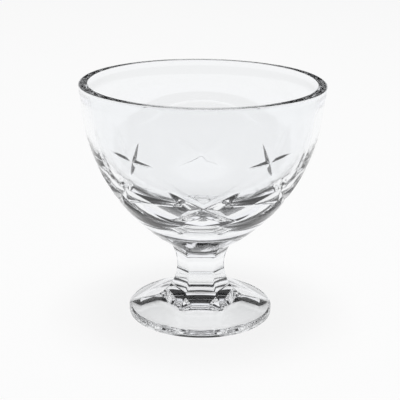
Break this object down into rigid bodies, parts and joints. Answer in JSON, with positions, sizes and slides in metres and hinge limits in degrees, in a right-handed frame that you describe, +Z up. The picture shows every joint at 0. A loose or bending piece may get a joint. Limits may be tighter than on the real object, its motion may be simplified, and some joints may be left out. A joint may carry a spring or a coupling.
{
  "type": "ice cream dish",
  "caption": "Clear pressed-glass ice cream dish: a round star-cut, fluted bowl with a flat lipped rim on a short six-sided stem and a round, faceted foot.",
  "frame": {"origin": "centre of the foot's rest ring, on the surface that the dish stands on", "axes": "+Z up along the axis of the dish; -Y towards the star that faces the camera; +X to its right"},
  "size_m": [0.1, 0.1, 0.0993],
  "materials": {
    "bowl_glass": "clear, pressed and fire-polished",
    "stem_glass": "clear, pressed and fire-polished",
    "foot_glass": "clear, pressed and fire-polished"
  },
  "bodies": {
    "root": {"bowl": "bowl_glass", "stem": "stem_glass", "foot": "foot_glass"}
  },
  "joints": []
}
